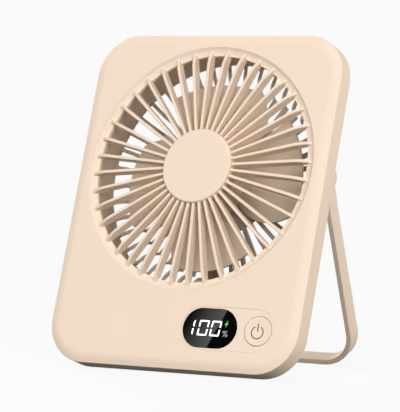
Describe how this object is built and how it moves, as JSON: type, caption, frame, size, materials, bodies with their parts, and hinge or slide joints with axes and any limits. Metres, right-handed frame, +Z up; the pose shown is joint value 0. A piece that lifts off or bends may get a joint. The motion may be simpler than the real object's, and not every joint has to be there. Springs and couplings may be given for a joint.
{
  "type": "portable desk fan",
  "caption": "Slim slab-shaped rechargeable desk fan: round radial fin grille, display and push button in a rounded face, leaning back on a folding U-shaped stand.",
  "frame": {"origin": "middle of the footprint on the floor, stand opened as in the picture", "axes": "+Z up, -Y to the front where the air comes out, +X to the user's right seen from the front"},
  "size_m": [0.15, 0.0896, 0.1773],
  "materials": {
    "shell_plastic": "smooth matte, warm cream",
    "stand_plastic": "smooth matte, warm cream",
    "fan_plastic": "smooth matte, warm cream",
    "lens_black": "polished smoked black",
    "display_body": "matt black",
    "steel": "plain bright",
    "bronze": "sintered bearing bronze",
    "copper": "enamelled copper wire",
    "magnet": "dark ferrite",
    "board": "green solder mask",
    "battery_foil": "silver laminate foil",
    "foam": "soft black foam",
    "lead": "flat black cable"
  },
  "bodies": {
    "base": {"front_shell": "shell_plastic", "front_grille": "shell_plastic", "grille_cap": "shell_plastic", "grille_screws": "steel", "rear_shell": "shell_plastic", "case_screws": "steel", "motor_base": "steel", "motor_screws": "steel", "motor_bush": "bronze", "motor_board": "board", "stator_core": "steel", "stator_coils": "copper", "control_panel": "shell_plastic", "display_lens": "lens_black", "display_module": "display_body", "button_switch": "display_body", "main_board": "board", "board_screws": "steel", "charge_board": "board", "usb_socket": "steel", "battery_pack": "battery_foil", "battery_pad": "foam", "motor_lead": "lead", "battery_lead": "lead", "hinge_pins": "steel", "hinge_washers": "display_body"},
    "rotor": {"impeller": "fan_plastic", "rotor_can": "steel", "magnet_ring": "magnet", "rotor_shaft": "steel", "shaft_clip": "steel"},
    "stand": {"stand_frame": "stand_plastic"},
    "button": {"power_button": "shell_plastic"}
  },
  "joints": [
    {"name": "fan_spin", "type": "hinge", "parent": "base", "child": "rotor", "pos_m": [0, -0.00867, 0.10757], "axis": [0, -0.9397, 0.342], "continuous": true},
    {"name": "stand_fold", "type": "hinge", "parent": "base", "child": "stand", "pos_m": [0, 0.00866, 0.10286], "axis": [1, 0, 0], "range_deg": [-39.7, 140.2]},
    {"name": "button_press", "type": "slide", "parent": "base", "child": "button", "axis": [0, 0.9397, -0.342], "range_m": [0, 0.0006], "stiffness_N_per_m": 1500, "springref_m": -0.0005}
  ]
}
